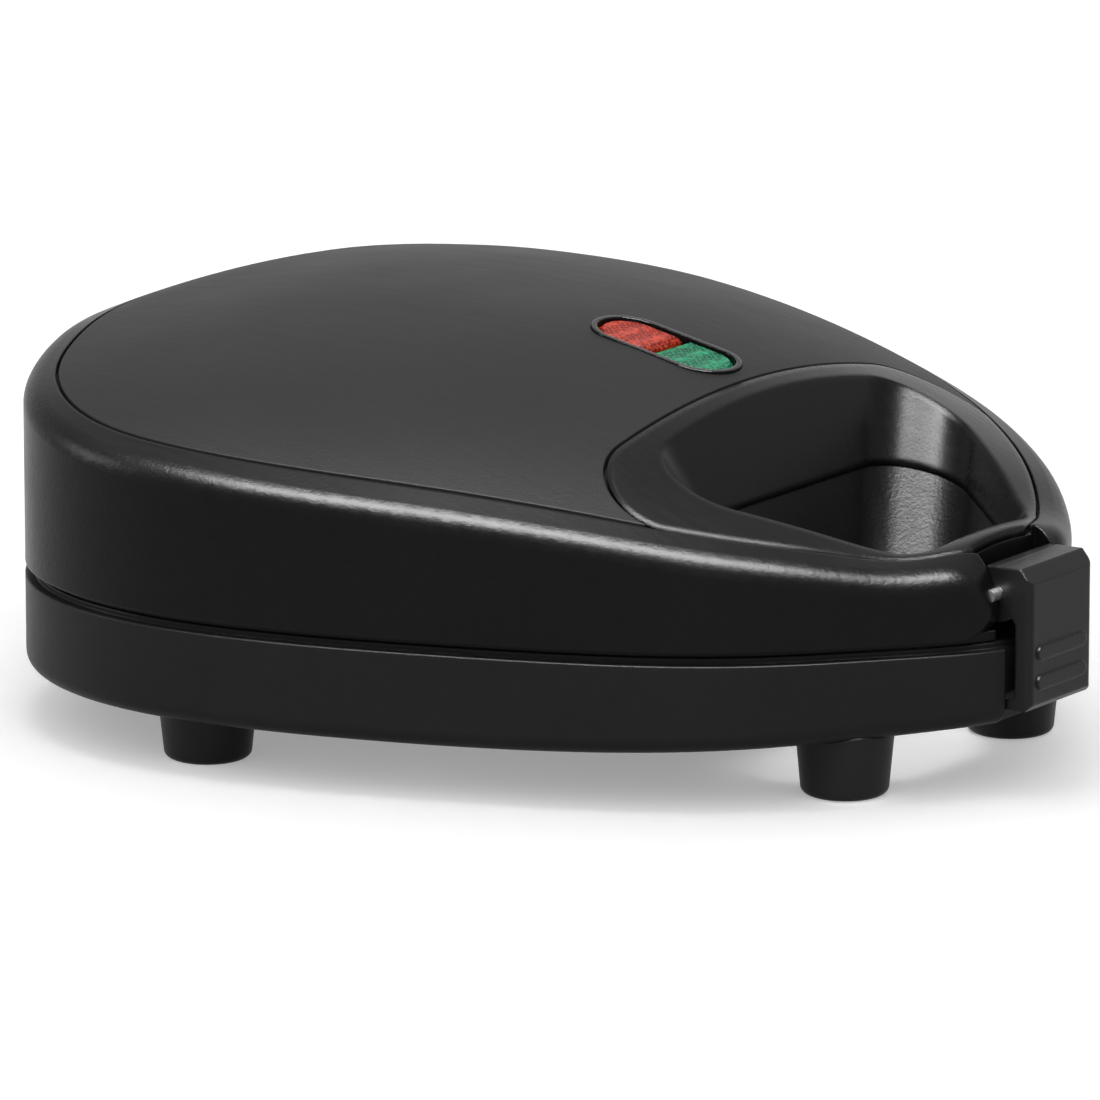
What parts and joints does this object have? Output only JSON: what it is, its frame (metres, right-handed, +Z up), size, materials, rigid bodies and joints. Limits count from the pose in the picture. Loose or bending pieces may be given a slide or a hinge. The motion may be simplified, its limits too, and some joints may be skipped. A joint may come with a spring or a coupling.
{
  "type": "sandwich maker",
  "caption": "Electric sandwich maker: hinged domed lid over a base, finger opening through the handle, clip latch, indicator lights and non-stick plates with triangular pockets.",
  "frame": {"origin": "middle of the footprint, on the surface that the feet stand on", "axes": "+Z up, +Y back towards the hinges, -Y forward towards the handle and latch, +X to the object's right seen from the front of the handle"},
  "size_m": [0.2296, 0.272, 0.094],
  "materials": {
    "shell_plastic": "satin, fine grain",
    "panel_plastic": "matt, fine grain",
    "gloss_black": "smooth, glossy",
    "foot_plastic": "satin",
    "cover_plastic": "satin",
    "red_lens": "clear red, faceted",
    "green_lens": "clear green, faceted",
    "lamp_glass": "clear",
    "coated_plate": "dark non-stick coating",
    "element_steel": "dull, heat-stained",
    "tray_steel": "bright",
    "screw_steel": "zinc plated",
    "pin_steel": "ground",
    "ceramic_white": "matt"
  },
  "bodies": {
    "base": {"base_housing": "shell_plastic", "bottom_cover": "cover_plastic", "bottom_cover_screws": "screw_steel", "foot_front_left": "foot_plastic", "foot_front_right": "foot_plastic", "foot_rear_left": "foot_plastic", "foot_rear_right": "foot_plastic", "cord_inlet": "foot_plastic", "hinge_bracket_left": "shell_plastic", "hinge_bracket_right": "shell_plastic", "hinge_pin_left": "pin_steel", "hinge_pin_right": "pin_steel", "lower_plate": "coated_plate", "lower_plate_screws": "screw_steel", "lower_element": "element_steel", "lower_reflector": "tray_steel", "thermostat": "ceramic_white", "terminal_block": "ceramic_white"},
    "lid": {"lid_shell": "shell_plastic", "top_panel": "panel_plastic", "handle_bezel": "gloss_black", "lamp_holder": "gloss_black", "red_lens": "red_lens", "green_lens": "green_lens", "red_lamp": "lamp_glass", "green_lamp": "lamp_glass", "upper_plate": "coated_plate", "upper_plate_screws": "screw_steel", "upper_element": "element_steel", "upper_reflector": "tray_steel", "latch_pin": "pin_steel"},
    "latch": {"latch_clip": "gloss_black"}
  },
  "joints": [
    {"name": "lid_hinge", "type": "hinge", "parent": "base", "child": "lid", "pos_m": [0, 0.129, 0.044], "axis": [-1, 0, 0], "range_deg": [0, 100]},
    {"name": "latch_pivot", "type": "hinge", "parent": "lid", "child": "latch", "pos_m": [0, -0.126, 0.047], "axis": [-1, 0, 0], "range_deg": [0, 35]}
  ]
}
